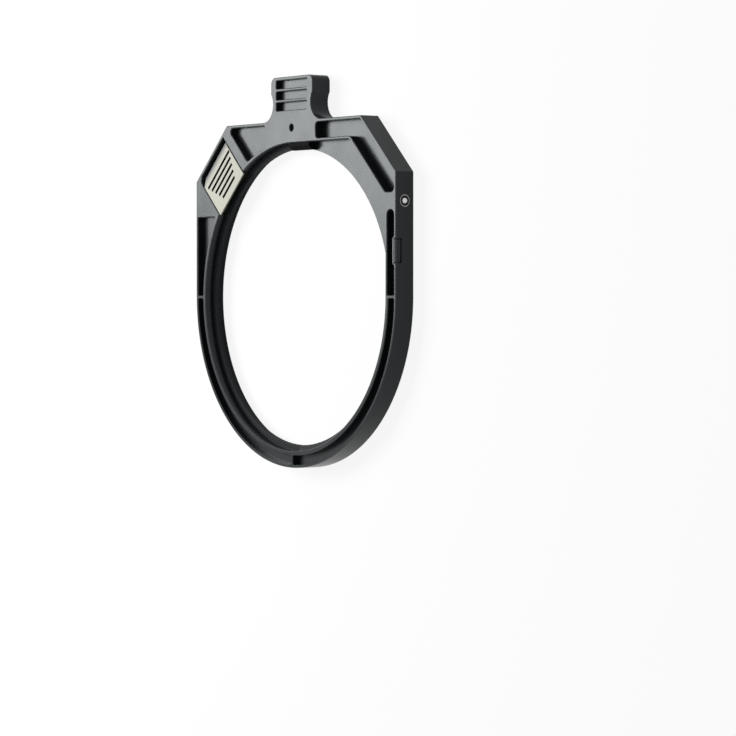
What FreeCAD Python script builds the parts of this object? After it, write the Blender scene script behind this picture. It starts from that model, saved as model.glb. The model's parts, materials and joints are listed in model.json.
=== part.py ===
import FreeCAD, Part
import math
import os

import Sketcher

os.makedirs("parts", exist_ok=True)
doc = FreeCAD.newDocument("FilterTray")
Vector = FreeCAD.Vector

# Driving sizes in millimetres. The tray lies on its back: X runs across it, Y towards the
# finger tab, Z out of the front face, and the origin is on the optical axis at the back face.
SIZES = {
    "tray_thickness": 6.9,
    "filter_radius": 47.5,
    "filter_gap": 0.1,
    "ledge_width": 1.7,
    "side_width": 5.15,
    "bar_width": 6.7,
    "shoulder_cut": 17.25,
    "back_edge": 0.35,
    "front_edge": 0.22,
    "tab_length": 13.7,
    "tab_half_width": 11.0,
    "tab_corner": 2.0,
    "tab_waist": 1.0,
    "tab_scallop": 5.4,
    "grip_count": 3,
    "grip_pitch": 3.4,
    "grip_width": 2.6,
    "grip_side_margin": 2.8,
    "grip_top_margin": 1.0,
    "grip_depth": 2.8,
    "grip_corner": 0.5,
    "cord_hole_radius": 1.1,
    "cord_hole_margin": 2.1,
    "front_seat_depth": 3.0,
    "rear_thread_depth": 2.5,
    "web_wall": 0.9,
    "web_corner": 1.5,
    "outer_wall": 0.9,
    "ring_wall": 1.3,
    "rib": 0.9,
    "pocket_depth": 3.5,
    "pocket_corner": 0.5,
    "left_pocket_drop": 2.8,
    "right_pocket_drop": 2.6,
    "right_pocket_wall": 0.8,
    "right_pocket_round": 1.6,
    "channel_depth": 4.7,
    "channel_tab_gap": 1.5,
    "channel_wall": 0.8,
    "channel_rim": 0.9,
    "channel_width": 7.1,
    "channel_rise": 2.6,
    "channel_corner": 1.2,
    "channel_round": 1.7,
    "arch_pocket_tab_gap": 3.0,
    "arch_pocket_rim": 1.1,
    "arch_pocket_corner": 1.2,
    "latch_band": 3.7,
    "latch_half_width": 9.0,
    "latch_side_gap": 0.4,
    "latch_overhang": 1.6,
    "latch_rim": 1.1,
    "latch_recess_corner": 2.4,
    "latch_travel": 1.6,
    "latch_end_gap": 0.15,
    "latch_floor_gap": 0.1,
    "latch_lip": 1.2,
    "latch_lip_relief": 0.3,
    "latch_lip_bevel": 0.75,
    "latch_corner_cut": 2.0,
    "latch_slope_length": 1.9,
    "latch_slope_drop": 0.5,
    "latch_groove_count": 5,
    "latch_groove_setback": 3.8,
    "latch_groove_lip_margin": 2.8,
    "latch_groove_side_margin": 0.7,
    "latch_groove_taper": 3.7,
    "latch_groove_shift": 0.45,
    "latch_groove_width": 0.95,
    "latch_groove_depth": 1.2,
    "screw_side_margin": 3.4,
    "screw_setback": 6.1,
    "screw_head_radius": 1.6,
    "screw_head_height": 1.0,
    "screw_head_inset": 0.2,
    "screw_shoulder_radius": 0.95,
    "screw_thread_radius": 0.8,
    "screw_thread_length": 1.6,
    "screw_socket_width": 1.3,
    "screw_socket_depth": 0.6,
    "screw_gap": 0.1,
    "latch_spring_setback": 2.1,
    "latch_spring_length": 5.0,
    "latch_spring_radius": 1.2,
    "latch_spring_wire": 0.2,
    "latch_spring_turns": 3,
    "latch_spring_gap": 0.1,
    "plunger_drop": 8.65,
    "plunger_depth": 3.5,
    "plunger_radius": 1.8,
    "plunger_length": 4.0,
    "plunger_inset": 0.1,
    "plunger_floor": 0.6,
    "plunger_groove_radius": 1.32,
    "plunger_groove_width": 0.28,
    "plunger_groove_depth": 0.3,
    "ball_radius": 1.0,
    "ball_stand_out": 0.5,
    "ball_gap": 0.03,
    "ball_spring_radius": 0.75,
    "ball_spring_wire": 0.12,
    "ball_spring_turns": 2,
    "ball_spring_gap": 0.02,
    "stop_width": 13.5,
    "stop_overlap": 1.8,
    "stop_top_gap": 0.05,
    "stop_height": 2.4,
    "stop_inset": 0.35,
    "stop_face": 1.2,
    "key_share": 0.48,
    "key_length": 7.3,
    "key_notch_inset": 0.8,
    "key_notch_depth": 2.2,
    "key_bump": 0.9,
    "key_gap": 0.35,
    "key_side_inset": 0.1,
}


def write_sheet():
    """One row of the sheet for each size: its name, its number and its alias."""
    table = doc.addObject("Spreadsheet::Sheet", "Sizes")
    for row, (name, value) in enumerate(SIZES.items(), start=1):
        table.set(f"A{row}", name)
        table.set(f"B{row}", str(value))
        table.setAlias(f"B{row}", name)
    doc.recompute()
    return table


sheet = write_sheet()


class Size:
    """A length that carries its number together with the sheet formula that gives it."""

    def __init__(self, value, formula):
        self.value = float(value)
        self.formula = formula

    def __add__(self, other):
        other = as_size(other)
        return Size(self.value + other.value, f"({self.formula} + {other.formula})")

    def __sub__(self, other):
        other = as_size(other)
        return Size(self.value - other.value, f"({self.formula} - {other.formula})")

    def __mul__(self, other):
        other = as_size(other)
        return Size(self.value * other.value, f"({self.formula} * {other.formula})")

    def __truediv__(self, other):
        other = as_size(other)
        return Size(self.value / other.value, f"({self.formula} / {other.formula})")

    def __neg__(self):
        return Size(-self.value, f"(-{self.formula})")

    __radd__ = __add__
    __rmul__ = __mul__


def as_size(number):
    """A bare number as a Size, so that both can stand in one sum."""
    if isinstance(number, Size):
        return number
    return Size(number, f"({number:.9f})")


def size(name):
    """The size in the sheet that has this alias."""
    return Size(sheet.get(name), f"Sizes.{name}")


def root(amount):
    """The square root of a Size."""
    return Size(math.sqrt(amount.value), f"sqrt({amount.formula})")


def leg(hypotenuse, other_leg):
    """The second leg of a right triangle, as on a circle at a given height."""
    return root(hypotenuse * hypotenuse - other_leg * other_leg)


ZERO = as_size(0)
DIAGONAL = math.sqrt(0.5)
NEAR = 1e-4
WIRE_SIDES = 4


def on_shoulder(across, reach):
    """The point of the latch's diagonal: across it (towards the tab) and out along it."""
    return ((across - reach) * DIAGONAL, (across + reach) * DIAGONAL)


def bind(feature, path, amount):
    """Ties a property of a feature to the sheet."""
    feature.setExpression(path, amount.formula)


def origin_plane(body, role):
    """A body's own origin plane, found by its role."""
    return next(plane for plane in body.Origin.OriginFeatures if plane.Role == role)


def new_body(name):
    """An empty body whose label is the node's name."""
    body = doc.addObject("PartDesign::Body", name)
    body.Label = name
    return body


def new_sketch(body, name, offset, role="XY_Plane"):
    """A sketch parallel to one of the body's planes, at an offset along its normal."""
    sketch = body.newObject("Sketcher::SketchObject", name)
    sketch.AttachmentSupport = [(origin_plane(body, role), "")]
    sketch.MapMode = "FlatFace"
    bind(sketch, "AttachmentOffset.Base.z", offset)
    return sketch


def dimension(sketch, kind, geometry, point, amount):
    """Fixes one coordinate of a point from the sketch's origin."""
    rule = Sketcher.Constraint(kind, -1, 1, geometry, point, amount.value)
    index = sketch.addConstraint(rule)
    bind(sketch, f"Constraints[{index}]", amount)


def add_circle(sketch, x, y, radius):
    """A circle whose centre and radius follow the sheet."""
    centre = Vector(x.value, y.value, 0)
    circle = Part.Circle(centre, Vector(0, 0, 1), radius.value)
    geometry = sketch.addGeometry(circle, False)
    dimension(sketch, "DistanceX", geometry, 3, x)
    dimension(sketch, "DistanceY", geometry, 3, y)
    index = sketch.addConstraint(Sketcher.Constraint("Radius", geometry, radius.value))
    bind(sketch, f"Constraints[{index}]", radius)


def arc_between(start, end, bend):
    """The short arc from start to end: its centre is on the left where bend is positive."""
    chord = end - start
    radius = abs(bend)
    height = math.sqrt(max(radius**2 - chord.Length**2 / 4, 0.0))
    side = Vector(-chord.y, chord.x, 0).normalize()
    centre = (start + end) * 0.5 + side * math.copysign(height, bend)
    first, last = (start, end) if bend > 0 else (end, start)
    angles = [math.atan2(point.y - centre.y, point.x - centre.x) for point in (first, last)]
    return Part.ArcOfCircle(Part.Circle(centre, Vector(0, 0, 1), radius), *angles)


def add_loop(sketch, corners):
    """A closed loop of lines and arcs.

    A corner is (x, y) where a line leaves it and (x, y, bend) where an arc does: the bend is
    the arc's radius, positive where it turns left and negative where it turns right.
    """
    ends = []
    for index, corner in enumerate(corners):
        following = corners[(index + 1) % len(corners)]
        start = Vector(corner[0].value, corner[1].value, 0)
        end = Vector(following[0].value, following[1].value, 0)
        if len(corner) == 3:
            bend = corner[2]
            geometry = sketch.addGeometry(arc_between(start, end, bend.value), False)
            rule = Sketcher.Constraint("Radius", geometry, abs(bend.value))
            row = sketch.addConstraint(rule)
            sketch.setExpression(f"Constraints[{row}]", f"abs({bend.formula})")
            ends.append((geometry, 1, 2) if bend.value > 0 else (geometry, 2, 1))
        else:
            geometry = sketch.addGeometry(Part.LineSegment(start, end), False)
            ends.append((geometry, 1, 2))
    for index, (geometry, first, last) in enumerate(ends):
        neighbour, neighbour_first, _ = ends[(index + 1) % len(ends)]
        meeting = ("Coincident", geometry, last, neighbour, neighbour_first)
        sketch.addConstraint(Sketcher.Constraint(*meeting))
        dimension(sketch, "DistanceX", geometry, first, corners[index][0])
        dimension(sketch, "DistanceY", geometry, first, corners[index][1])


def rounded(corners):
    """Rounds the corners of a straight-sided loop: each corner is (x, y, radius or None)."""
    loop = []
    for index, (x, y, radius) in enumerate(corners):
        if radius is None:
            loop.append((x, y))
            continue
        before = corners[index - 1]
        after = corners[(index + 1) % len(corners)]
        arriving = Vector(x.value - before[0].value, y.value - before[1].value, 0).normalize()
        leaving = Vector(after[0].value - x.value, after[1].value - y.value, 0).normalize()
        turn = math.atan2(arriving.cross(leaving).z, arriving.dot(leaving))
        trim = radius * abs(math.tan(turn / 2))
        bend = radius if turn > 0 else -radius
        loop.append((x - trim * arriving.x, y - trim * arriving.y, bend))
        loop.append((x + trim * leaving.x, y + trim * leaving.y))
    return loop


def mirrored(loop):
    """A loop turned over about the Y axis, walked the other way round."""
    turned = []
    for index in range(len(loop)):
        x, y = loop[-index][:2]
        departing = loop[-index - 1]
        bend = departing[2:] if len(departing) == 3 else ()
        turned.append((-x, y) + tuple(bend))
    return turned


def pad(body, name, sketch, length):
    """Material from the sketch along its normal."""
    feature = body.newObject("PartDesign::Pad", name)
    feature.Profile = sketch
    bind(feature, "Length", length)
    doc.recompute()
    return feature


def pocket(body, name, sketch, depth, reverse=False):
    """A cut from the sketch against its normal, or along it; it must take material away."""
    before = body.Shape.Volume
    feature = body.newObject("PartDesign::Pocket", name)
    feature.Profile = sketch
    feature.Reversed = reverse
    bind(feature, "Length", depth)
    doc.recompute()
    if not body.Shape.Volume < before - 1e-4:
        raise RuntimeError(f"{name} cuts nothing")
    return feature


def cut_loops(body, name, offset, depth, loops, reverse=False):
    """One pocket with one or more closed loops."""
    sketch = new_sketch(body, f"{name}_sketch", offset)
    for loop in loops:
        add_loop(sketch, loop)
    return pocket(body, name, sketch, depth, reverse)


def cut_circle(body, name, offset, depth, circle, reverse=False):
    """One round pocket, its circle given as (x, y, radius)."""
    sketch = new_sketch(body, f"{name}_sketch", offset)
    add_circle(sketch, *circle)
    return pocket(body, name, sketch, depth, reverse)


def edges_where(feature, test):
    """The names of a feature's edges that pass a test."""
    edges = enumerate(feature.Shape.Edges, start=1)
    return [f"Edge{number}" for number, edge in edges if test(edge)]


def upright_edges(feature, corners):
    """The names of a feature's edges that stand straight up from any of the corners."""
    places = [Vector(corner[0].value, corner[1].value, 0) for corner in corners]

    def stands_on_corner(edge):
        box = edge.BoundBox
        foot = Vector(box.XMin, box.YMin, 0)
        upright = max(box.XLength, box.YLength) < NEAR and box.ZLength > NEAR
        turning = abs(edge.tangentAt(edge.FirstParameter).z) > 0.5
        return upright and turning and any(foot.distanceToPoint(spot) < NEAR for spot in places)

    return edges_where(feature, stands_on_corner)


def dress(body, kind, name, base, edges, amount):
    """A fillet or a chamfer on named edges."""
    feature = body.newObject(f"PartDesign::{kind}", name)
    feature.Base = (base, edges)
    bind(feature, "Radius" if kind == "Fillet" else "Size", amount)
    doc.recompute()
    return feature


def subtract_cylinder(body, name, radius, length, placement):
    """A round cut given by its radius, its length and where it starts."""
    before = body.Shape.Volume
    feature = body.newObject("PartDesign::SubtractiveCylinder", name)
    bind(feature, "Radius", radius)
    bind(feature, "Height", length)
    place(feature, placement)
    doc.recompute()
    if not body.Shape.Volume < before - 1e-4:
        raise RuntimeError(f"{name} cuts nothing")
    return feature


def place(feature, placement):
    """Gives a feature the rotation and the tied position of a placement."""
    (x, y, z), rotation = placement
    feature.Placement = FreeCAD.Placement(Vector(x.value, y.value, z.value), rotation)
    bind(feature, "Placement.Base.x", x)
    bind(feature, "Placement.Base.y", y)
    bind(feature, "Placement.Base.z", z)


THICKNESS = size("tray_thickness")
SEAT_RADIUS = size("filter_radius") + size("filter_gap")
APERTURE_RADIUS = size("filter_radius") - size("ledge_width")
HALF_WIDTH = SEAT_RADIUS + size("side_width")
BAR_TOP = SEAT_RADIUS + size("bar_width")
SIDE_TOP = BAR_TOP - size("shoulder_cut")
TAB_TOP = BAR_TOP + size("tab_length")
RING_RADIUS = SEAT_RADIUS + size("ring_wall")
WALL_RADIUS = HALF_WIDTH - size("outer_wall")
HALF_RIB = size("rib") / 2
SEAT_FLOOR = THICKNESS - size("front_seat_depth")
PLUNGER_HEIGHT = SIDE_TOP - size("plunger_drop")
KEY_BOTTOM = PLUNGER_HEIGHT * size("key_share") - size("key_length") / 2
KEY_TOP = KEY_BOTTOM + size("key_length")

# A reach is a distance from the optical axis along the diagonal that the latch slides on.
OUTWARD = FreeCAD.Rotation(Vector(0, 0, 1), Vector(-1, 1, 0))
SHOULDER_REACH = (HALF_WIDTH + SIDE_TOP) * DIAGONAL
CHANNEL_REACH = SHOULDER_REACH - size("channel_rim") - size("channel_width")
RECESS_REACH = SHOULDER_REACH - size("latch_rim")
LATCH_INNER = SEAT_RADIUS - size("latch_overhang")
LATCH_OUTER = RECESS_REACH - size("latch_travel") - size("latch_end_gap")
SCREW_REACH = LATCH_OUTER - size("screw_setback")
SCREW_OFFSET = size("latch_half_width") - size("screw_side_margin")
SPRING_END = LATCH_OUTER - size("latch_spring_setback")
SPRING_START = SPRING_END - size("latch_spring_length")


def outline_loop():
    """The tray seen from the front: tab, bar, shoulders, sides and the round lower half."""
    scallop = size("tab_scallop")
    tab = size("tab_half_width")
    corner = size("tab_corner")
    neck_x = tab - size("tab_waist")
    foot_x = neck_x + scallop
    centre_y = BAR_TOP + scallop
    head_y = centre_y + leg(scallop, foot_x - tab)
    shoulder = size("shoulder_cut")
    right = [
        (ZERO, -HALF_WIDTH, HALF_WIDTH),
        (HALF_WIDTH, ZERO),
        (HALF_WIDTH, SIDE_TOP),
        (HALF_WIDTH - shoulder, BAR_TOP),
        (foot_x, BAR_TOP, -scallop),
        (neck_x, centre_y, -scallop),
        (tab, head_y),
        (tab, TAB_TOP - corner, corner),
        (tab - corner, TAB_TOP),
    ]
    left = [
        (corner - tab, TAB_TOP, corner),
        (-tab, TAB_TOP - corner),
        (-tab, head_y, -scallop),
        (-neck_x, centre_y, -scallop),
        (-foot_x, BAR_TOP),
        (shoulder - HALF_WIDTH, BAR_TOP),
        (-HALF_WIDTH, SIDE_TOP),
        (-HALF_WIDTH, ZERO, HALF_WIDTH),
    ]
    return right + left


def grip_loops():
    """The three blind slots across the face of the tab."""
    corner = size("grip_corner")
    half = size("tab_half_width") - size("grip_side_margin")
    loops = []
    for index in range(int(sheet.get("grip_count"))):
        high = TAB_TOP - size("grip_top_margin") - size("grip_pitch") * index
        low = high - size("grip_width")
        box = [(-half, low), (half, low), (half, high), (-half, high)]
        loops.append(rounded([(x, y, corner) for x, y in box]))
    return loops


def web_loop():
    """The open web beside the seat: tangent to it above and on the right."""
    reach = (CHANNEL_REACH - size("web_wall")) * (1 / DIAGONAL)
    corner = size("web_corner")
    return rounded([
        (ZERO, ZERO, None),
        (SEAT_RADIUS, ZERO, None),
        (SEAT_RADIUS, reach - SEAT_RADIUS, corner),
        (reach - SEAT_RADIUS, SEAT_RADIUS, corner),
        (ZERO, SEAT_RADIUS, None),
    ])


def lower_pocket_loop():
    """The pocket round the lower right quarter of the ring."""
    return [
        (HALF_RIB, -leg(RING_RADIUS, HALF_RIB)),
        (HALF_RIB, -leg(WALL_RADIUS, HALF_RIB), WALL_RADIUS),
        (leg(WALL_RADIUS, HALF_RIB), -HALF_RIB),
        (leg(RING_RADIUS, HALF_RIB), -HALF_RIB, -RING_RADIUS),
    ]


def left_pocket_loop():
    """The pocket beside the ring on the left, up to the latch's shoulder."""
    top = PLUNGER_HEIGHT - size("left_pocket_drop")
    return [
        (-WALL_RADIUS, HALF_RIB),
        (-leg(RING_RADIUS, HALF_RIB), HALF_RIB, -RING_RADIUS),
        (-leg(RING_RADIUS, top), top),
        (-WALL_RADIUS, top),
    ]


def right_pocket_loop():
    """The slot in the right side wall, narrowed where the key's notch bulges into it."""
    inner = SEAT_RADIUS + size("right_pocket_wall")
    bump = size("key_bump")
    top = PLUNGER_HEIGHT - size("right_pocket_drop")
    ending = size("right_pocket_round")
    return rounded([
        (inner, HALF_RIB, None),
        (WALL_RADIUS, HALF_RIB, None),
        (WALL_RADIUS, KEY_BOTTOM - bump, None),
        (WALL_RADIUS - bump, KEY_BOTTOM, None),
        (WALL_RADIUS - bump, KEY_TOP, None),
        (WALL_RADIUS, KEY_TOP + bump, None),
        (WALL_RADIUS, top, ending),
        (inner, top, ending),
    ])


def channel_loop():
    """The bent channel from beside the tab, down the right shoulder, to above the detent."""
    low = SEAT_RADIUS + size("channel_wall")
    high = BAR_TOP - size("channel_rim")
    inner = CHANNEL_REACH * (1 / DIAGONAL)
    outer = inner + size("channel_width") * (1 / DIAGONAL)
    end = PLUNGER_HEIGHT + size("channel_rise")
    left = size("tab_half_width") + size("channel_tab_gap")
    corner = size("channel_corner")
    ending = size("channel_round")
    bend = size("web_corner") + size("web_wall")
    return rounded([
        (left, low, corner),
        (inner - low, low, bend),
        (inner - end, end, ending),
        (WALL_RADIUS, end, ending),
        (WALL_RADIUS, outer - WALL_RADIUS, None),
        (outer - high, high, None),
        (left, high, corner),
    ])


LATCH_RECESS_HALF = size("latch_half_width") + size("latch_side_gap")


def arch_pocket_loop():
    """The pocket between the latch and the tab, its lower side along the ring's arch."""
    arch = SEAT_RADIUS + size("arch_pocket_rim")
    high = BAR_TOP - size("channel_rim")
    left = LATCH_RECESS_HALF + size("latch_band")
    right = -size("tab_half_width") - size("arch_pocket_tab_gap")
    corner = size("arch_pocket_corner")
    low_x, low_y = on_shoulder(left, leg(arch, left))
    top_x = left * (1 / DIAGONAL) - high
    return [
        (low_x, low_y, -arch),
        (right, leg(arch, right)),
        (right, high - corner, corner),
        (right - corner, high),
        (top_x, high),
    ]


def latch_recess_loop():
    """The recess that the latch slides in, from the opening out to the shoulder's rim."""
    half = LATCH_RECESS_HALF
    near = APERTURE_RADIUS * DIAGONAL
    corners = (
        (half, near, None),
        (half, RECESS_REACH, size("pocket_corner")),
        (-half, RECESS_REACH, size("latch_recess_corner")),
        (-half, near, None),
    )
    return rounded([(*on_shoulder(across, reach), radius) for across, reach, radius in corners])


def screw_slot_loop(side, half):
    """The slot that a latch screw travels in, on one side of the latch's centre line."""
    middle = SCREW_OFFSET * side
    near = SCREW_REACH
    far = near + size("latch_travel")
    return [
        (*on_shoulder(middle + half, near), ),
        (*on_shoulder(middle + half, far), half),
        (*on_shoulder(middle, far + half), half),
        (*on_shoulder(middle - half, far), ),
        (*on_shoulder(middle - half, near), half),
        (*on_shoulder(middle, near - half), half),
    ]


def key_notch_loop():
    """The notch in the right side face that the key sits in."""
    inner = HALF_WIDTH - size("key_notch_inset")
    outside = HALF_WIDTH + 1
    return [(inner, KEY_BOTTOM), (outside, KEY_BOTTOM), (outside, KEY_TOP), (inner, KEY_TOP)]


def spring_axis(start):
    """A place on the latch spring's axis, turned out along the diagonal."""
    x, y = on_shoulder(ZERO, start)
    return ((x, y, SEAT_FLOOR + size("latch_floor_gap") / 2), OUTWARD)


def plunger_axis(side, start):
    """A place on a detent's axis at a distance from the middle, turned outwards."""
    facing = FreeCAD.Rotation(Vector(0, 0, 1), Vector(side, 0, 0))
    return ((start * side, PLUNGER_HEIGHT, THICKNESS - size("plunger_depth")), facing)


def make_frame():
    """The machined frame."""
    body = new_body("tray_frame")
    outline = new_sketch(body, "outline_sketch", ZERO)
    add_loop(outline, outline_loop())
    blank = pad(body, "blank", outline, THICKNESS)

    back = edges_where(blank, lambda edge: edge.BoundBox.ZMax < NEAR)
    dress(body, "Chamfer", "back_outline_edge", blank, back, size("back_edge"))

    cut_circle(body, "aperture", THICKNESS, THICKNESS, (ZERO, ZERO, APERTURE_RADIUS))
    seat = (ZERO, ZERO, SEAT_RADIUS)
    cut_circle(body, "front_seat", THICKNESS, size("front_seat_depth"), seat)
    thread = (ZERO, ZERO, size("filter_radius"))
    cut_circle(body, "rear_thread", ZERO, size("rear_thread_depth"), thread, reverse=True)
    cut_loops(body, "web", THICKNESS, size("front_seat_depth"), [web_loop()])
    cut_loops(body, "latch_recess", THICKNESS, size("front_seat_depth"), [latch_recess_loop()])
    cut_loops(body, "grips", THICKNESS, size("grip_depth"), grip_loops())
    hole = (ZERO, BAR_TOP - size("cord_hole_margin"), size("cord_hole_radius"))
    cut_circle(body, "cord_hole", THICKNESS, THICKNESS, hole)

    cut_loops(body, "channel", THICKNESS, size("channel_depth"), [channel_loop()])
    cut_loops(body, "key_notch", THICKNESS, size("key_notch_depth"), [key_notch_loop()])
    quarter = lower_pocket_loop()
    arch = arch_pocket_loop()
    pockets = [quarter, mirrored(quarter), left_pocket_loop(), right_pocket_loop(), arch]
    milled = cut_loops(body, "side_pockets", THICKNESS, size("pocket_depth"), pockets)
    beside_latch = upright_edges(milled, [arch[0], arch[-1]])
    arch_corner = size("arch_pocket_corner")
    milled = dress(body, "Fillet", "arch_pocket_corners", milled, beside_latch, arch_corner)
    milled_corners = [corner for loop in pockets for corner in loop]
    upright = upright_edges(milled, milled_corners)
    milled = dress(body, "Fillet", "pocket_corners", milled, upright, size("pocket_corner"))
    front = edges_where(milled, lambda edge: edge.BoundBox.ZMin > THICKNESS.value - NEAR)
    dress(body, "Chamfer", "front_edges", milled, front, size("front_edge"))

    gap = size("screw_gap")
    shank = size("screw_shoulder_radius") + gap
    head = size("screw_head_radius") + gap
    sink = size("screw_head_inset") + size("screw_head_height") + gap
    sides = (-1, 1)
    slots = [screw_slot_loop(side, shank) for side in sides]
    cut_loops(body, "screw_slots", SEAT_FLOOR, SEAT_FLOOR, slots)
    sinks = [screw_slot_loop(side, head) for side in sides]
    cut_loops(body, "screw_sinks", ZERO, sink, sinks, reverse=True)

    cavity = size("latch_spring_radius") + size("latch_spring_gap")
    start = SPRING_START - size("latch_spring_gap")
    subtract_cylinder(body, "spring_trough", cavity, SPRING_END - start, spring_axis(start))
    drilled = size("plunger_length") + size("plunger_inset") + 1
    for side, place_name in ((-1, "left"), (1, "right")):
        axis = plunger_axis(side, HALF_WIDTH + 1 - drilled)
        subtract_cylinder(body, f"{place_name}_detent_hole", size("plunger_radius"), drilled, axis)
    return body


def latch_plate_loop():
    """The latch's plate, with its outer corner cut off on the side away from the tab."""
    half = size("latch_half_width")
    near, far = LATCH_INNER, LATCH_OUTER
    cut = size("latch_corner_cut")
    corners = [(half, near), (half, far), (cut - half, far), (-half, far - cut), (-half, near)]
    return [on_shoulder(across, reach) for across, reach in corners]


def latch_groove_loop(index):
    """One grip groove of the latch: they get shorter towards the opening."""
    first = LATCH_OUTER - size("latch_groove_setback")
    last = LATCH_INNER + size("latch_groove_lip_margin")
    share = index / (sheet.get("latch_groove_count") - 1)
    longest = size("latch_half_width") - size("latch_groove_side_margin")
    half = longest - size("latch_groove_taper") * share
    middle = first + (last - first) * share
    near = middle - size("latch_groove_width") / 2
    far = middle + size("latch_groove_width") / 2
    shift = size("latch_groove_shift")
    left, right = shift - half, shift + half
    corners = [(right, near), (right, far), (left, far), (left, near)]
    return [on_shoulder(across, reach) for across, reach in corners]


def make_latch():
    """The sliding plate that holds the filter's rim."""
    body = new_body("filter_latch")
    bottom = SEAT_FLOOR + size("latch_floor_gap")
    thickness = THICKNESS - bottom
    plate = new_sketch(body, "plate_sketch", bottom)
    add_loop(plate, latch_plate_loop())
    blank = pad(body, "plate", plate, thickness)

    def edges_across(feature, reach, height):
        """The names of the edges that run across the latch at a reach and a height."""
        spot = Vector(*[part.value for part in on_shoulder(ZERO, reach)], height.value)
        outward = Vector(-DIAGONAL, DIAGONAL, 0)

        def runs_there(edge):
            ends = [vertex.Point - spot for vertex in edge.Vertexes]
            return all(abs(end.z) + abs(end.dot(outward)) < NEAR for end in ends)

        return edges_where(feature, runs_there)

    outer_top = edges_across(blank, LATCH_OUTER, THICKNESS)
    slope = dress(body, "Chamfer", "outer_slope", blank, outer_top, size("latch_slope_drop"))
    slope.ChamferType = "Two distances"
    bind(slope, "Size2", size("latch_slope_length"))
    relief = (ZERO, ZERO, SEAT_RADIUS + size("latch_lip_relief"))
    clearance = thickness - size("latch_lip")
    lip = cut_circle(body, "lip_relief", bottom, clearance, relief, reverse=True)
    inner_low = edges_across(lip, LATCH_INNER, bottom + clearance)
    dress(body, "Chamfer", "lip_bevel", lip, inner_low, size("latch_lip_bevel"))
    grooves = [latch_groove_loop(index) for index in range(int(sheet.get("latch_groove_count")))]
    cut_loops(body, "grip_grooves", THICKNESS, size("latch_groove_depth"), grooves)
    for side, name in ((-1, "lower"), (1, "upper")):
        hole = (*on_shoulder(SCREW_OFFSET * side, SCREW_REACH), size("screw_thread_radius"))
        depth = size("screw_thread_length")
        cut_circle(body, f"{name}_screw_hole", bottom, depth, hole, reverse=True)
    cavity = size("latch_spring_radius") + size("latch_spring_gap")
    run = LATCH_OUTER - SPRING_START
    subtract_cylinder(body, "latch_spring_trough", cavity, run, spring_axis(SPRING_START))
    return body


def make_latch_screw(name, side):
    """A shoulder screw: head at the back, shoulder in the frame's slot, thread in the latch."""
    body = new_body(name)
    x, y = on_shoulder(SCREW_OFFSET * side, SCREW_REACH)
    inset = size("screw_head_inset")
    top = inset + size("screw_head_height")
    seat = SEAT_FLOOR + size("latch_floor_gap")
    steps = (
        ("head", inset, size("screw_head_height"), size("screw_head_radius")),
        ("shoulder", top, seat - top, size("screw_shoulder_radius")),
        ("thread", seat, size("screw_thread_length"), size("screw_thread_radius")),
    )
    for step, start, length, radius in steps:
        sketch = new_sketch(body, f"{name}_{step}_sketch", start)
        add_circle(sketch, x, y, radius)
        pad(body, f"{name}_{step}", sketch, length)
    flat = size("screw_socket_width") / 2
    tip = flat * (2 / math.sqrt(3))
    hexagon = []
    for step in range(6):
        angle = math.radians(60 * step)
        hexagon.append((x + tip * math.cos(angle), y + tip * math.sin(angle)))
    socket = size("screw_socket_depth")
    cut_loops(body, f"{name}_socket", inset, socket, [hexagon], reverse=True)
    return body


def make_spring(name, radius, wire, turns, length, placement):
    """A coil spring swept along a helix, lying along its placement's Z axis.

    The fine wire has a square section, which keeps its long curved faces light.
    """
    coil = doc.addObject("Part::Helix", f"{name}_coil")
    mean = radius - wire
    height = length - wire * 2
    bind(coil, "Radius", mean)
    bind(coil, "Height", height)
    bind(coil, "Pitch", height / turns)
    coil.Style = "New style"
    section = doc.addObject("Part::RegularPolygon", f"{name}_section")
    section.Polygon = WIRE_SIDES
    bind(section, "Circumradius", wire)
    section.Placement = FreeCAD.Placement(
        Vector(mean.value, 0, 0), FreeCAD.Rotation(Vector(1, 0, 0), 90)
    )
    bind(section, "Placement.Base.x", mean)
    doc.recompute()
    spring = doc.addObject("Part::Sweep", name)
    spring.Label = name
    spring.Sections = [section]
    edges = [f"Edge{number}" for number in range(1, len(coil.Shape.Edges) + 1)]
    spring.Spine = (coil, edges)
    spring.Solid = True
    spring.Frenet = True
    place(spring, placement)
    doc.recompute()
    return spring


def make_latch_spring():
    """The spring between the latch's trough and the frame's."""
    wire = size("latch_spring_wire")
    return make_spring(
        "latch_spring",
        size("latch_spring_radius"),
        wire,
        size("latch_spring_turns"),
        size("latch_spring_length"),
        spring_axis(SPRING_START + wire),
    )


FACE = HALF_WIDTH - size("plunger_inset")
PLUNGER_BACK = FACE - size("plunger_length")
BALL_CENTRE = HALF_WIDTH + size("ball_stand_out") - size("ball_radius")


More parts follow.
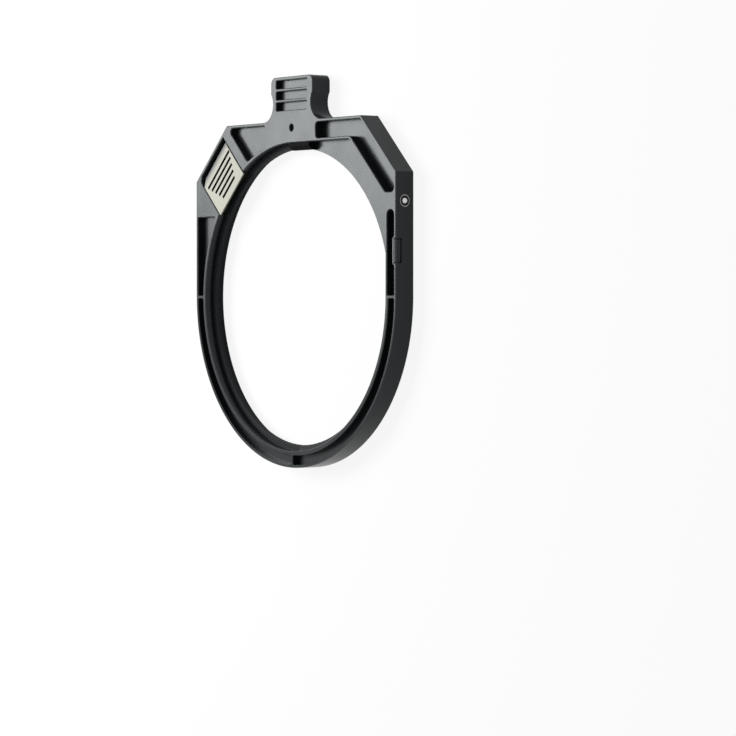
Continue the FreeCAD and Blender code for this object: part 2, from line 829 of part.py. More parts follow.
def make_plunger_body(name, side):
    """The sleeve of a detent: a turned cup, its mouth staked round the ball by a V groove."""
    body = new_body(name)
    profile = body.newObject("Sketcher::SketchObject", f"{name}_profile")
    profile.AttachmentSupport = [(origin_plane(body, "XY_Plane"), "")]
    profile.MapMode = "FlatFace"
    bind(profile, "AttachmentOffset.Base.y", PLUNGER_HEIGHT)
    bind(profile, "AttachmentOffset.Base.z", THICKNESS - size("plunger_depth"))
    cavity = size("ball_radius") + size("ball_gap")
    mouth = leg(cavity, FACE - BALL_CENTRE)
    groove = size("plunger_groove_radius")
    half_groove = size("plunger_groove_width") / 2
    groove_floor = FACE - size("plunger_groove_depth")
    outer = size("plunger_radius")
    floor = PLUNGER_BACK + size("plunger_floor")
    half = [
        (PLUNGER_BACK, ZERO),
        (PLUNGER_BACK, outer),
        (FACE, outer),
        (FACE, groove + half_groove * 2),
        (groove_floor, groove + half_groove),
        (FACE, groove),
        (FACE, mouth, cavity),
        (BALL_CENTRE, cavity),
        (floor, cavity),
        (floor, ZERO),
    ]
    add_loop(profile, [(x * side, y, *(amount * side for amount in bend)) for x, y, *bend in half])
    feature = body.newObject("PartDesign::Revolution", f"{name}_turning")
    feature.Profile = profile
    feature.ReferenceAxis = (profile, ["H_Axis"])
    feature.Angle = 360
    doc.recompute()
    return body


def make_ball(name, side):
    """The steel ball of a detent."""
    ball = doc.addObject("Part::Sphere", name)
    ball.Label = name
    bind(ball, "Radius", size("ball_radius"))
    place(ball, plunger_axis(side, BALL_CENTRE))
    return ball


def make_ball_spring(name, side):
    """The spring behind a detent's ball."""
    wire = size("ball_spring_wire")
    gap = size("ball_spring_gap")
    start = PLUNGER_BACK + size("plunger_floor") + gap
    end = BALL_CENTRE - size("ball_radius") - gap
    return make_spring(
        name,
        size("ball_spring_radius"),
        wire,
        size("ball_spring_turns"),
        end - start,
        plunger_axis(side, start + wire),
    )


def make_stop():
    """The black block at the end of the web, with its lower front edge bevelled away."""
    body = new_body("top_stop")
    sketch = new_sketch(body, "stop_sketch", -size("stop_overlap"), "YZ_Plane")
    top = THICKNESS - size("stop_inset")
    low = SEAT_RADIUS - size("stop_height")
    face = SEAT_RADIUS - size("stop_face")
    high = SEAT_RADIUS - size("stop_top_gap")
    bevel = face - low
    add_loop(sketch, [
        (low, SEAT_FLOOR),
        (high, SEAT_FLOOR),
        (high, top),
        (face, top),
        (low, top - bevel),
    ])
    pad(body, "stop_block", sketch, size("stop_width"))
    return body


def make_key():
    """The small block in the right side face's notch."""
    body = new_body("side_key")
    gap = size("key_gap")
    floor = THICKNESS - size("key_notch_depth")
    inner = HALF_WIDTH - size("key_notch_inset")
    outer = HALF_WIDTH - size("key_side_inset")
    low, high = KEY_BOTTOM + gap, KEY_TOP - gap
    sketch = new_sketch(body, "key_sketch", floor + gap)
    add_loop(sketch, [(inner, low), (outer, low), (outer, high), (inner, high)])
    pad(body, "key_block", sketch, size("key_notch_depth") - gap - size("key_side_inset"))
    return body


def make_all():
    """Every piece, in the order in which the tray is put together."""
    pieces = [make_frame(), make_latch(), make_latch_spring(), make_stop(), make_key()]
    for side, name in ((1, "upper"), (-1, "lower")):
        pieces.append(make_latch_screw(f"{name}_latch_screw", side))
    for side, name in ((1, "right"), (-1, "left")):
        pieces.append(make_plunger_body(f"{name}_plunger_body", side))
        pieces.append(make_ball(f"{name}_plunger_ball", side))
        pieces.append(make_ball_spring(f"{name}_plunger_spring", side))
    return pieces


def check_document(pieces):
    """Stops if a feature failed or a piece is empty or broken."""
    for item in doc.Objects:
        if "Invalid" in item.State or "Error" in item.State:
            raise RuntimeError(f"{item.Name} failed: {item.State}")
    for piece in pieces:
        if piece.Shape.isNull() or not piece.Shape.isValid() or not piece.Shape.Solids:
            raise RuntimeError(f"{piece.Label} has no sound solid")


def write_parts(pieces):
    """One STEP file for each piece, named by its label."""
    for piece in pieces:
        piece.Shape.exportStep(f"parts/{piece.Label}.step")
        print(f"{piece.Label}: {len(piece.Shape.Solids)} solid, {piece.Shape.Volume:.2f} mm3")


all_pieces = make_all()
doc.recompute()
check_document(all_pieces)
write_parts(all_pieces)
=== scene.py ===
import json
import math

import bmesh
import bpy
from mathutils import Matrix, Vector


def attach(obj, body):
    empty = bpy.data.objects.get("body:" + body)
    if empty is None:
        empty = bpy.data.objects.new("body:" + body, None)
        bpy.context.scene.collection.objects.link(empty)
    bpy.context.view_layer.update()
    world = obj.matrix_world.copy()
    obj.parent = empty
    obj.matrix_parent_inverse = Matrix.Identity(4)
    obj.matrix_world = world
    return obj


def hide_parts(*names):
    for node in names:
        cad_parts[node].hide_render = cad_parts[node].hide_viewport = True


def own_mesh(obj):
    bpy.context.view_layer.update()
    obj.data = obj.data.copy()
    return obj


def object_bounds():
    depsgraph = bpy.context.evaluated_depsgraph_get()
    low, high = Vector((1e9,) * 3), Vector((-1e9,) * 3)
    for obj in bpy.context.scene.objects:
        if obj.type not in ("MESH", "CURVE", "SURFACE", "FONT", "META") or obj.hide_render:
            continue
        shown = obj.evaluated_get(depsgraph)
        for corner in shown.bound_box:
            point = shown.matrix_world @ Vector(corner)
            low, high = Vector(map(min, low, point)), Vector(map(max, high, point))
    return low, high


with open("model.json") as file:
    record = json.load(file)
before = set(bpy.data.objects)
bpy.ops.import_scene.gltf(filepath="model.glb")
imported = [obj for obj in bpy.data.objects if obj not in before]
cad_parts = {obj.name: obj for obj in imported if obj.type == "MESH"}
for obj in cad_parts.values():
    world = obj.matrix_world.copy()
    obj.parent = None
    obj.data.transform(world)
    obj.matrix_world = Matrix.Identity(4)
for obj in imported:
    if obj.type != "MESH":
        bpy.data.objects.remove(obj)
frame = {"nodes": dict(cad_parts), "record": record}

cad_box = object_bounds()
NODES = frame["nodes"]

# Sizes and places in metres: MM stands after each number of millimetres.
MM = 0.001
NEAR = 0.01 * MM
SHARP_ANGLE = math.radians(25)
FRONT = 6.9 * MM
THREAD_RADIUS = 47.55 * MM
TAB_HOLE = (0, 52.2 * MM)
KEY_ROUNDING = 0.55 * MM

# How deep the blind pockets are in the solid, and how deep they look.
SHALLOW_FLOORS = {
    "grips": (2.8 * MM, 1.8 * MM),
    "pockets": (3.5 * MM, 2.15 * MM),
    "channel": (4.7 * MM, 2.8 * MM),
}

# What lies past the first place on the stop moves back to the second.
STOP_PAST = 11 * MM
STOP_END = 8.6 * MM

# The latch: a reach is a distance from the optical axis along the way it slides. The plate's
# top and the groove's ends have a little to spare, so that the painted shade in the grooves stops
# at the edges.
LATCH_WAY = Vector((-1, 1, 0)).normalized()
SLOPE_REACH = (58.0 * MM, 60.2 * MM)
GROOVE_REACH = (48.2 * MM, 57.45 * MM)
GROOVE_HALF_LENGTH = 8.87 * MM
PLATE_TOP = 6.87 * MM
LIP_BOTTOM = 6.4 * MM
UNDER_LIP_RADIUS = 48 * MM
LATCH_SPRING_REACH = (53.55 * MM, 58.55 * MM)
LATCH_SPRING_HEIGHT = 3.95 * MM

# The detents lie at the same place on both sides, with their axes across the tray.
DETENT_Y = 28.4 * MM
DETENT_HEIGHT = 3.4 * MM
DETENT_RIM = (1.5 * MM, 1.79 * MM)
DETENT_SPRING_ENDS = (51.23 * MM, 49.27 * MM)


class Finish:
    """A material, built node by node round its own Principled shader."""

    def __init__(self, name, metallic=0.0, ior=1.45):
        self.material = bpy.data.materials.new(name)
        self.material.use_nodes = True
        self.tree = self.material.node_tree
        self.shader = self.tree.nodes["Principled BSDF"]
        self.shader.inputs["Metallic"].default_value = metallic
        self.shader.inputs["IOR"].default_value = ior
        self.coordinates = self.tree.nodes.new("ShaderNodeTexCoord")

    def give(self, value, socket):
        """Sets a socket to a number or colour, or wires another node's output to it."""
        if isinstance(value, bpy.types.NodeSocket):
            self.tree.links.new(value, socket)
        else:
            socket.default_value = value

    def math(self, operation, first, second=0.0):
        node = self.tree.nodes.new("ShaderNodeMath")
        node.operation = operation
        self.give(first, node.inputs[0])
        self.give(second, node.inputs[1])
        return node.outputs[0]

    def remap(self, value, low, high, to_low=0.0, to_high=1.0):
        """Stretches a range of values onto another, and stops at its ends."""
        node = self.tree.nodes.new("ShaderNodeMapRange")
        ends = (value, low, high, to_low, to_high)
        for end, socket in zip(ends, node.inputs):
            self.give(end, socket)
        return node.outputs["Result"]

    def mix(self, share, first, second):
        """One colour fading into another."""
        node = self.tree.nodes.new("ShaderNodeMix")
        node.data_type = "RGBA"
        self.give(share, node.inputs["Factor"])
        self.give(first, node.inputs[6])
        self.give(second, node.inputs[7])
        return node.outputs[2]

    def noise(self, grain, detail=2.0, stretch=(1, 1, 1)):
        """Noise whose blotches are about the given size, drawn out by the stretch."""
        place = self.tree.nodes.new("ShaderNodeMapping")
        self.tree.links.new(self.coordinates.outputs["Object"], place.inputs["Vector"])
        place.inputs["Scale"].default_value = [1 / (grain * part) for part in stretch]
        node = self.tree.nodes.new("ShaderNodeTexNoise")
        node.inputs["Scale"].default_value = 1.0
        node.inputs["Detail"].default_value = detail
        self.tree.links.new(place.outputs["Vector"], node.inputs["Vector"])
        return node.outputs["Fac"]

    def facing(self, axis):
        """How much the surface faces along one of its own axes, from 0 to 1."""
        split = self.tree.nodes.new("ShaderNodeSeparateXYZ")
        self.tree.links.new(self.coordinates.outputs["Normal"], split.inputs[0])
        return self.math("ABSOLUTE", split.outputs[axis])

    def along(self, way):
        """How far along a direction a point of the piece lies."""
        node = self.tree.nodes.new("ShaderNodeVectorMath")
        node.operation = "DOT_PRODUCT"
        self.tree.links.new(self.coordinates.outputs["Object"], node.inputs[0])
        node.inputs[1].default_value = way
        return node.outputs["Value"]

    def away_from(self, centre, across):
        """A point's distance from a line through the centre; across is 0 along the line."""
        flat = self.tree.nodes.new("ShaderNodeVectorMath")
        flat.operation = "MULTIPLY"
        self.tree.links.new(self.coordinates.outputs["Object"], flat.inputs[0])
        flat.inputs[1].default_value = across
        node = self.tree.nodes.new("ShaderNodeVectorMath")
        node.operation = "DISTANCE"
        self.tree.links.new(flat.outputs["Vector"], node.inputs[0])
        node.inputs[1].default_value = centre
        return node.outputs["Value"]

    def between(self, value, low, high):
        """1 where a value lies between two others, and 0 elsewhere."""
        above = self.math("GREATER_THAN", value, low)
        return self.math("MULTIPLY", above, self.math("LESS_THAN", value, high))

    def bevelled(self):
        """1 on the machined edges, which lean between upright and flat, and 0 elsewhere."""
        lean = self.facing("Z")
        rising = self.remap(lean, 0.25, 0.4)
        falling = self.remap(lean, 0.85, 0.97, 1.0, 0.0)
        return self.math("MULTIPLY", rising, falling)

    def bump(self, height, depth, strength=1.0):
        node = self.tree.nodes.new("ShaderNodeBump")
        node.inputs["Strength"].default_value = strength
        node.inputs["Distance"].default_value = depth
        self.tree.links.new(height, node.inputs["Height"])
        self.tree.links.new(node.outputs["Normal"], self.shader.inputs["Normal"])

    def use(self, **sockets):
        """Fills the shader's sockets, named with underscores for spaces."""
        for name, value in sockets.items():
            self.give(value, self.shader.inputs[name.replace("_", " ")])
        return self.material


def black_anodised():
    """The frame, satin, with a painted highlight on its chamfers, but matte on the seat's ledge
    away from the web.
    """
    finish = Finish("black_anodised", ior=1.33)
    cloud = finish.noise(9 * MM, detail=3.0)
    blast = finish.noise(0.16 * MM)
    rubbed = finish.noise(0.5 * MM, stretch=(0.5, 18, 0.5))
    edge = finish.bevelled()
    rail = finish.remap(finish.facing("X"), 0.9, 0.99)
    scratch = finish.math("MULTIPLY", rail, finish.remap(rubbed, 0.62, 0.75))
    skin = finish.mix(cloud, (0.016, 0.018, 0.020, 1), (0.022, 0.024, 0.026, 1))
    skin = finish.mix(finish.math("MULTIPLY", scratch, 0.35), skin, (0.07, 0.07, 0.072, 1))
    # Painted highlight: the chamfers are coloured lighter and made partly metallic, so the edges
    # show bright lines.
    colour = finish.mix(edge, skin, (0.07, 0.075, 0.078, 1))
    finish.bump(blast, 0.004 * MM, strength=0.3)
    ledge = finish.math("LESS_THAN", finish.away_from((0, 0, 0), (1, 1, 0)), THREAD_RADIUS)
    ledge = finish.math("MULTIPLY", ledge, finish.math("LESS_THAN", finish.along((1, 0, 0)), 0.0))
    polish = finish.remap(cloud, 0.3, 0.7, 0.24, 0.29)
    return finish.use(
        Base_Color=colour,
        Metallic=finish.math("MULTIPLY", edge, 0.3),
        Roughness=finish.math("ADD", polish, finish.math("MULTIPLY", ledge, 0.5)),
        Specular_Tint=(0.90, 0.98, 1.0, 1),
    )


def champagne_anodised():
    """The latch: painted shade darkens its grip grooves and the body under its lip, and greys its
    outer slope.
    """
    finish = Finish("champagne_anodised", ior=1.35)
    cloud = finish.noise(6 * MM, detail=3.0)
    brushed = finish.noise(0.12 * MM)
    reach = finish.along(LATCH_WAY)
    colour = finish.mix(cloud, (0.67, 0.67, 0.57, 1), (0.73, 0.73, 0.63, 1))
    # Painted shade: towards its outer end the latch fades to a dark grey on its outer slope.
    slope_shade = finish.remap(reach, *SLOPE_REACH)
    colour = finish.mix(slope_shade, colour, (0.2, 0.2, 0.21, 1))
    across = finish.math("ABSOLUTE", finish.along((LATCH_WAY.y, -LATCH_WAY.x, 0)))
    # Painted shade: the grip grooves are painted nearly black below the plate's top.
    groove_shade = finish.between(reach, *GROOVE_REACH)
    groove_shade = finish.math("MULTIPLY", groove_shade, finish.math("LESS_THAN", across, GROOVE_HALF_LENGTH))
    height = finish.along((0, 0, 1))
    groove_shade = finish.math("MULTIPLY", groove_shade, finish.math("LESS_THAN", height, PLATE_TOP))
    radius = finish.away_from((0, 0, 0), (1, 1, 0))
    # Painted shade: the latch's body under its lip is painted nearly black.
    under_lip_shade = finish.math("LESS_THAN", radius, UNDER_LIP_RADIUS)
    under_lip_shade = finish.math("MULTIPLY", under_lip_shade, finish.math("LESS_THAN", height, LIP_BOTTOM))
    # Both painted shades turn the colour nearly black.
    painted_shade = finish.math("MAXIMUM", groove_shade, under_lip_shade)
    colour = finish.mix(painted_shade, colour, (0.012, 0.012, 0.01, 1))
    finish.bump(brushed, 0.004 * MM, strength=0.4)
    return finish.use(Base_Color=colour, Roughness=finish.remap(cloud, 0.3, 0.7, 0.56, 0.64))


def black_screw():
    finish = Finish("black_screw", ior=1.5)
    cloud = finish.noise(0.8 * MM, detail=3.0)
    colour = finish.mix(cloud, (0.018, 0.018, 0.019, 1), (0.04, 0.04, 0.042, 1))
    finish.bump(finish.noise(0.08 * MM), 0.003 * MM, strength=0.5)
    return finish.use(Base_Color=colour, Roughness=finish.remap(cloud, 0.3, 0.7, 0.28, 0.4))


def spring_steel():
    finish = Finish("spring_steel", metallic=1.0)
    cloud = finish.noise(0.6 * MM, detail=3.0)
    colour = finish.mix(cloud, (0.42, 0.42, 0.42, 1), (0.56, 0.56, 0.55, 1))
    return finish.use(Base_Color=colour, Roughness=finish.remap(cloud, 0.3, 0.7, 0.24, 0.38))


def black_plastic():
    finish = Finish("black_plastic", ior=1.12)
    cloud = finish.noise(5 * MM, detail=3.0)
    grain = finish.noise(0.22 * MM)
    colour = finish.mix(cloud, (0.004, 0.004, 0.0045, 1), (0.008, 0.008, 0.009, 1))
    finish.bump(grain, 0.01 * MM, strength=0.5)
    return finish.use(Base_Color=colour, Roughness=finish.remap(cloud, 0.3, 0.7, 0.66, 0.76))


def turned_steel():
    """The detents' sleeves: steel on a thin rim, and nearly black elsewhere, a painted shade round
    the ball.
    """
    finish = Finish("turned_steel", metallic=1.0)
    cloud = finish.noise(0.7 * MM, detail=3.0)
    bright = finish.mix(cloud, (0.3, 0.3, 0.31, 1), (0.44, 0.44, 0.45, 1))
    radius = finish.away_from((0, DETENT_Y, DETENT_HEIGHT), (0, 1, 1))
    # Painted shade: off the rim the sleeve is painted nearly black round the ball.
    unshaded_rim = finish.between(radius, *DETENT_RIM)
    colour = finish.mix(unshaded_rim, (0.022, 0.022, 0.023, 1), bright)
    return finish.use(Base_Color=colour, Roughness=finish.remap(cloud, 0.3, 0.7, 0.24, 0.36))


def polished_ball():
    finish = Finish("polished_ball", metallic=1.0)
    cloud = finish.noise(0.3 * MM, detail=3.0)
    colour = finish.mix(cloud, (0.52, 0.52, 0.53, 1), (0.6, 0.6, 0.6, 1))
    return finish.use(Base_Color=colour, Roughness=finish.remap(cloud, 0.3, 0.7, 0.06, 0.12))


FINISHES = {
    "black_anodised": black_anodised(),
    "champagne_anodised": champagne_anodised(),
    "black_screw": black_screw(),
    "spring_steel": spring_steel(),
    "black_plastic": black_plastic(),
    "steel": turned_steel(),
    "polished_ball": polished_ball(),
}


def dress_cad_nodes():
    """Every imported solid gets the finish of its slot."""
    for row in frame["record"]["subparts"]:
        mesh = NODES[row["node"]].data
        mesh.materials.clear()
        mesh.materials.append(FINISHES[row["material_slot"]])


dress_cad_nodes()


def reshape(node, name, change):
    """Replaces a solid of the tray by a merged copy that the given step changes."""
    mesh = NODES[node].data.copy()
    solid = bmesh.new()
    solid.from_mesh(mesh)
    bmesh.ops.remove_doubles(solid, verts=solid.verts, dist=0.0005 * MM)
    change(solid)
    solid.to_mesh(mesh)
    solid.free()
    if "custom_normal" in mesh.attributes:
        mesh.attributes.remove(mesh.attributes["custom_normal"])
    mesh.shade_smooth()
    mesh.set_sharp_from_angle(angle=SHARP_ANGLE)
    copy = bpy.data.objects.new(name, mesh)
    bpy.context.scene.collection.objects.link(copy)
    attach(copy, "tray")
    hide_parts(node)


def raise_pocket_floors(solid):
    """The frame's blind pockets are as shallow as they look in the photo."""
    for deep, shallow in SHALLOW_FLOORS.values():
        level = FRONT - deep
        floors = [
            face
            for face in solid.faces
            if face.normal.z > 0.99 and abs(face.calc_center_median().z - level) < NEAR
        ]
        for vertex in {corner for face in floors for corner in face.verts}:
            vertex.co.z += deep - shallow


def end_sooner(solid):
    """The stop ends where the photo's does, short of its mirror image."""
    for vertex in solid.verts:
        if vertex.co.x > STOP_PAST:
            vertex.co.x = STOP_END


def round_outer_edge(solid):
    """The key's outer front edge is round, which leaves it a narrow front."""
    bmesh.ops.dissolve_limit(
        solid, angle_limit=math.radians(1), verts=solid.verts, edges=solid.edges
    )
    outer = max(vertex.co.x for vertex in solid.verts)
    front = max(vertex.co.z for vertex in solid.verts)
    edges = [
        edge
        for edge in solid.edges
        if all(outer - end.co.x < NEAR and front - end.co.z < NEAR for end in edge.verts)
    ]
    bmesh.ops.bevel(
        solid, geom=edges, offset=KEY_ROUNDING, segments=4, profile=0.5, affect="EDGES"
    )


reshape("tray_frame", "machined_frame", raise_pocket_floors)
reshape("top_stop", "rubber_stop", end_sooner)
reshape("side_key", "rounded_key", round_outer_edge)


class Tree:
    """A geometry tree with named sizes, its nodes added and wired a line at a time."""

    def __init__(self, name, sizes):
        self.group = bpy.data.node_groups.new(name, "GeometryNodeTree")
        self.keys = {}
        for label, kind in sizes.items():
            socket = self.group.interface.new_socket(label, socket_type=f"NodeSocket{kind}")
            self.keys[label] = socket.identifier
        self.given = self.group.nodes.new("NodeGroupInput").outputs

    def add(self, kind, output=0, settings=None, **inputs):
        """Adds a node; its inputs are named with underscores for spaces."""
        node = self.group.nodes.new(kind)
        for name, choice in (settings or {}).items():
            setattr(node, name, choice)
        for name, value in inputs.items():
            socket = node.inputs[name.replace("_", " ")]
            if isinstance(value, bpy.types.NodeSocket):
                self.group.links.new(value, socket)
            else:
                socket.default_value = value
        return node.outputs[output]

    def math(self, operation, first, second):
        node = self.group.nodes.new("ShaderNodeMath")
        node.operation = operation
        for value, socket in zip((first, second), node.inputs):
            if isinstance(value, bpy.types.NodeSocket):
                self.group.links.new(value, socket)
            else:
                socket.default_value = value
        return node.outputs[0]

    def end(self, geometry):
        """Hands the geometry out of the tree."""
        kind = "NodeSocketGeometry"
        self.group.interface.new_socket("Geometry", in_out="OUTPUT", socket_type=kind)
        output = self.group.nodes.new("NodeGroupOutput")
        self.group.links.new(geometry, output.inputs[0])


def coil_tree():
    """A wire or a screw ridge wound round the Z axis, then turned and put in its place.

    Closed Ends lays the last turns side by side, as on a spring. End Size is the section's
    share at the two ends, and it grows to 1 over the Run Out share of the length.
    """
    tree = Tree("coil", {
        "Radius": "Float",
        "Height": "Float",
        "Turns": "Float",
        "Turn Steps": "Int",
        "Section Sides": "Int",
        "Section Depth": "Float",
        "Section Width": "Float",
        "Section Inset": "Float",
        "Closed Ends": "Float",
        "End Size": "Float",
        "Run Out": "Float",
        "Place": "Vector",
        "Turn": "Vector",
        "Material": "Material",
    })
    given = tree.given
    helix = tree.add(
        "GeometryNodeCurveSpiral",
        Resolution=given["Turn Steps"],
        Rotations=given["Turns"],
        Start_Radius=given["Radius"],
        End_Radius=given["Radius"],
        Height=given["Height"],
    )
    along = tree.add("GeometryNodeSplineParameter")
    eased = tree.add(
        "ShaderNodeMapRange", settings={"interpolation_type": "SMOOTHSTEP"}, Value=along
    )
    lift = tree.math("MULTIPLY", tree.math("SUBTRACT", eased, along), given["Height"])
    lift = tree.math("MULTIPLY", lift, given["Closed Ends"])
    shift = tree.add("ShaderNodeCombineXYZ", Z=lift)
    helix = tree.add("GeometryNodeSetPosition", Geometry=helix, Offset=shift)
    level = {"mode": "Z_UP"}
    helix = tree.add("GeometryNodeSetCurveNormal", settings=level, Curve=helix)
    nearest_end = tree.math("MINIMUM", along, tree.math("SUBTRACT", 1.0, along))
    section_size = tree.add(
        "ShaderNodeMapRange",
        Value=nearest_end,
        From_Max=given["Run Out"],
        To_Min=given["End Size"],
    )
    section = tree.add(
        "GeometryNodeCurvePrimitiveCircle", Resolution=given["Section Sides"], Radius=1.0
    )
    spread = tree.add("ShaderNodeCombineXYZ", X=given["Section Depth"], Y=given["Section Width"])
    inset = tree.add("ShaderNodeCombineXYZ", X=given["Section Inset"])
    section = tree.add("GeometryNodeTransform", Geometry=section, Scale=spread, Translation=inset)
    coil = tree.add(
        "GeometryNodeCurveToMesh",
        Curve=helix,
        Profile_Curve=section,
        Scale=section_size,
        Fill_Caps=True,
    )
    coil = tree.add(
        "GeometryNodeTransform", Geometry=coil, Translation=given["Place"], Rotation=given["Turn"]
    )
    coil = tree.add("GeometryNodeRealizeInstances", Geometry=coil)
    coil = tree.add("GeometryNodeSetMaterial", Geometry=coil, Material=given["Material"])
    tree.end(coil)
    return tree


COIL = coil_tree()


def wind(name, slot, turn_steps, section_sides, **sizes):
    """Winds one coil with the tree and keeps its plain mesh, which rides on the tray."""
    coil = bpy.data.objects.new(name, bpy.data.meshes.new(name))
    bpy.context.scene.collection.objects.link(coil)
    modifier = coil.modifiers.new("coil", "NODES")
    modifier.node_group = COIL.group
    sizes["turn_steps"] = turn_steps
    sizes["section_sides"] = section_sides
    sizes["material"] = FINISHES[slot]
    for label, value in sizes.items():
        modifier[COIL.keys[label.replace("_", " ").title()]] = value
    graph = bpy.context.evaluated_depsgraph_get()
    wound = bpy.data.meshes.new_from_object(coil.evaluated_get(graph))
    coil.modifiers.clear()
    coil.data = wound
    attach(coil, "tray")
    return coil


def cut_thread(name, radius, pitch, low, high, depth, turn_steps, centre=(0, 0)):
    """The ridges of a screw thread inside a round hole, from one height to another."""
    height = high - low - pitch
    return wind(
        name,
        "black_anodised",
        turn_steps=turn_steps,
        section_sides=3,
        radius=radius,
        height=height,
        turns=height / pitch,
        section_depth=depth / 1.5,
        section_width=pitch * 0.5,
        section_inset=depth / 3,
        closed_ends=0.0,
        end_size=0.05,
        run_out=0.12,
        place=(centre[0], centre[1], low + pitch / 2),
        turn=(0, 0, 0),
    )


def wind_spring(name, radius, wire, turns, start, end):
    """A round-wire spring between two points."""
    way = Vector(end) - Vector(start)
    length = way.length
    spring = wind(
        name,
        "spring_steel",
        turn_steps=32,
        section_sides=10,
        radius=radius - wire,
        height=length - wire * 2,
        turns=turns,
        section_depth=wire,
        section_width=wire,
        section_inset=0.0,
        closed_ends=1.0,
        end_size=1.0,
        run_out=0.1,
        place=Vector(start) + way.normalized() * wire,
        turn=way.to_track_quat("Z", "Y").to_euler(),
    )
    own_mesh(spring)
    return spring


def add_threads_and_springs():
    """What the solids leave plain or square: screw threads and round spring wire."""
    cut_thread(
        "rear_filter_ridges",
        radius=THREAD_RADIUS,
        pitch=1.0 * MM,
        low=0.15 * MM,
        high=2.5 * MM,
        depth=0.6 * MM,
        turn_steps=240,
    )
    cut_thread(
        "tab_hole_ridges",
        radius=1.12 * MM,
        pitch=0.45 * MM,
        low=0.1 * MM,
        high=6.7 * MM,
        depth=0.22 * MM,
        centre=TAB_HOLE,
        turn_steps=24,
    )
    lift = Vector((0, 0, LATCH_SPRING_HEIGHT))
    start, end = [LATCH_WAY * reach + lift for reach in LATCH_SPRING_REACH]
    coil = wind_spring(
        "latch_coil",
        radius=1.2 * MM,
        wire=0.18 * MM,
        turns=6,
        start=start,
        end=end,
    )
    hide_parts("latch_spring")
    for side, name in ((1, "right"), (-1, "left")):
        start, end = [
            Vector((side * reach, DETENT_Y, DETENT_HEIGHT)) for reach in DETENT_SPRING_ENDS
        ]
        coil = wind_spring(
            f"{name}_ball_coil",
            radius=0.75 * MM,
            wire=0.1 * MM,
            turns=5,
            start=start,
            end=end,
        )
        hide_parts(f"{name}_plunger_spring")


add_threads_and_springs()

CAMERA_PLACE = Vector((0.7516, -0.00055, 0.5437))
CAMERA_LOOK = Vector((-0.79864, 0, -0.60182))
CAMERA_UP = Vector((0, 1, 0))
CAMERA_PITCH = math.radians(1.325)
CAMERA_LENS = 146.37


def add_camera():
    """The photograph's view: the tray lies flat and its tab points up in the picture."""
    look = CAMERA_LOOK * math.cos(CAMERA_PITCH) - CAMERA_UP * math.sin(CAMERA_PITCH)
    up = CAMERA_UP * math.cos(CAMERA_PITCH) + CAMERA_LOOK * math.sin(CAMERA_PITCH)
    right = look.cross(up)
    turn = Matrix((right, up, -look)).transposed().to_4x4()
    data = bpy.data.cameras.new("camera")
    data.lens = CAMERA_LENS
    data.sensor_width = 36.0
    camera = bpy.data.objects.new("camera", data)
    camera.matrix_world = Matrix.Translation(CAMERA_PLACE) @ turn
    bpy.context.scene.collection.objects.link(camera)
    bpy.context.scene.camera = camera


def seen_rays(tree):
    """1 for rays from the camera, from gloss and through glass, and 0 for the rest."""
    path = tree.nodes.new("ShaderNodeLightPath")
    total = path.outputs["Is Camera Ray"]
    for name in ("Is Glossy Ray", "Is Transmission Ray"):
        node = tree.nodes.new("ShaderNodeMath")
        node.operation = "MAXIMUM"
        tree.links.new(total, node.inputs[0])
        tree.links.new(path.outputs[name], node.inputs[1])
        total = node.outputs[0]
    return total


FLOOR_HALF = 6.0
FLOOR_GAP = 0.02 * MM


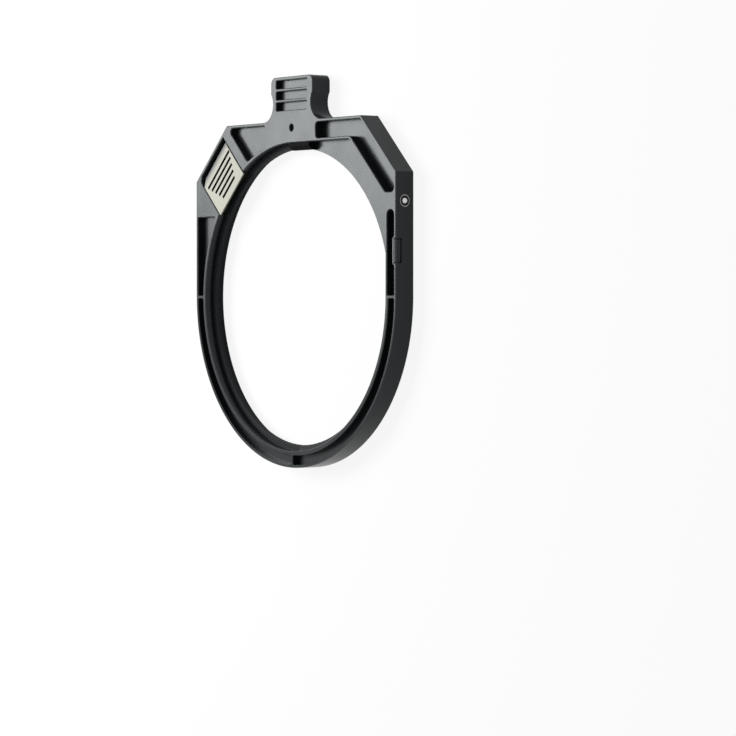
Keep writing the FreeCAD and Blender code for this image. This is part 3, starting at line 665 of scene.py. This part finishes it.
def add_floor():
    """A pale floor that reads as white and takes the tray's shadow; from below it is clear."""
    mesh = bpy.data.meshes.new("floor")
    sides = ((-1, -1), (1, -1), (1, 1), (-1, 1))
    corners = [(x * FLOOR_HALF, y * FLOOR_HALF, 0) for x, y in sides]
    mesh.from_pydata(corners, [], [(0, 1, 2, 3)])
    floor = bpy.data.objects.new("floor", mesh)
    floor.location.z = cad_box[0].z - FLOOR_GAP
    bpy.context.scene.collection.objects.link(floor)
    material = bpy.data.materials.new("pale_floor")
    material.use_nodes = True
    tree = material.node_tree
    tree.nodes.clear()
    plain = tree.nodes.new("ShaderNodeBsdfDiffuse")
    plain.inputs["Color"].default_value = (0.6, 0.6, 0.6, 1)
    pale = tree.nodes.new("ShaderNodeBsdfDiffuse")
    pale.inputs["Color"].default_value = (0.16, 0.16, 0.16, 1)
    glow = tree.nodes.new("ShaderNodeEmission")
    glow.inputs["Strength"].default_value = 0.89
    seen = tree.nodes.new("ShaderNodeAddShader")
    tree.links.new(pale.outputs[0], seen.inputs[0])
    tree.links.new(glow.outputs[0], seen.inputs[1])
    choice = tree.nodes.new("ShaderNodeMixShader")
    tree.links.new(seen_rays(tree), choice.inputs[0])
    tree.links.new(plain.outputs[0], choice.inputs[1])
    tree.links.new(seen.outputs[0], choice.inputs[2])
    side = tree.nodes.new("ShaderNodeNewGeometry")
    clear = tree.nodes.new("ShaderNodeBsdfTransparent")
    either = tree.nodes.new("ShaderNodeMixShader")
    tree.links.new(side.outputs["Backfacing"], either.inputs[0])
    tree.links.new(choice.outputs[0], either.inputs[1])
    tree.links.new(clear.outputs[0], either.inputs[2])
    output = tree.nodes.new("ShaderNodeOutputMaterial")
    tree.links.new(either.outputs[0], output.inputs["Surface"])
    mesh.materials.append(material)


def add_world():
    """A white surround for what the camera and the gloss see, and a low fill for the rest."""
    world = bpy.data.worlds.new("studio")
    world.use_nodes = True
    tree = world.node_tree
    background = tree.nodes["Background"]
    background.inputs["Color"].default_value = (1, 1, 1, 1)
    level = tree.nodes.new("ShaderNodeMapRange")
    tree.links.new(seen_rays(tree), level.inputs["Value"])
    level.inputs["To Min"].default_value = 0.15
    level.inputs["To Max"].default_value = 1.0
    tree.links.new(level.outputs["Result"], background.inputs["Strength"])
    bpy.context.scene.world = world


def add_softbox(name, place, aim, width, watts):
    """A square lamp at a place, turned to a point of the tray."""
    data = bpy.data.lights.new(name, "AREA")
    data.shape = "SQUARE"
    data.size = width
    data.energy = watts
    lamp = bpy.data.objects.new(name, data)
    back = (Vector(place) - Vector(aim)).normalized()
    turn = back.to_track_quat("Z", "Y").to_matrix().to_4x4()
    lamp.matrix_world = Matrix.Translation(place) @ turn
    bpy.context.scene.collection.objects.link(lamp)


add_camera()
add_floor()
add_world()
add_softbox("mirror_softbox", place=(-0.345, 0.14, 0.365), aim=(0, 0.02, 0), width=0.28, watts=2.4)

bpy.context.scene.view_settings.view_transform = "Standard"
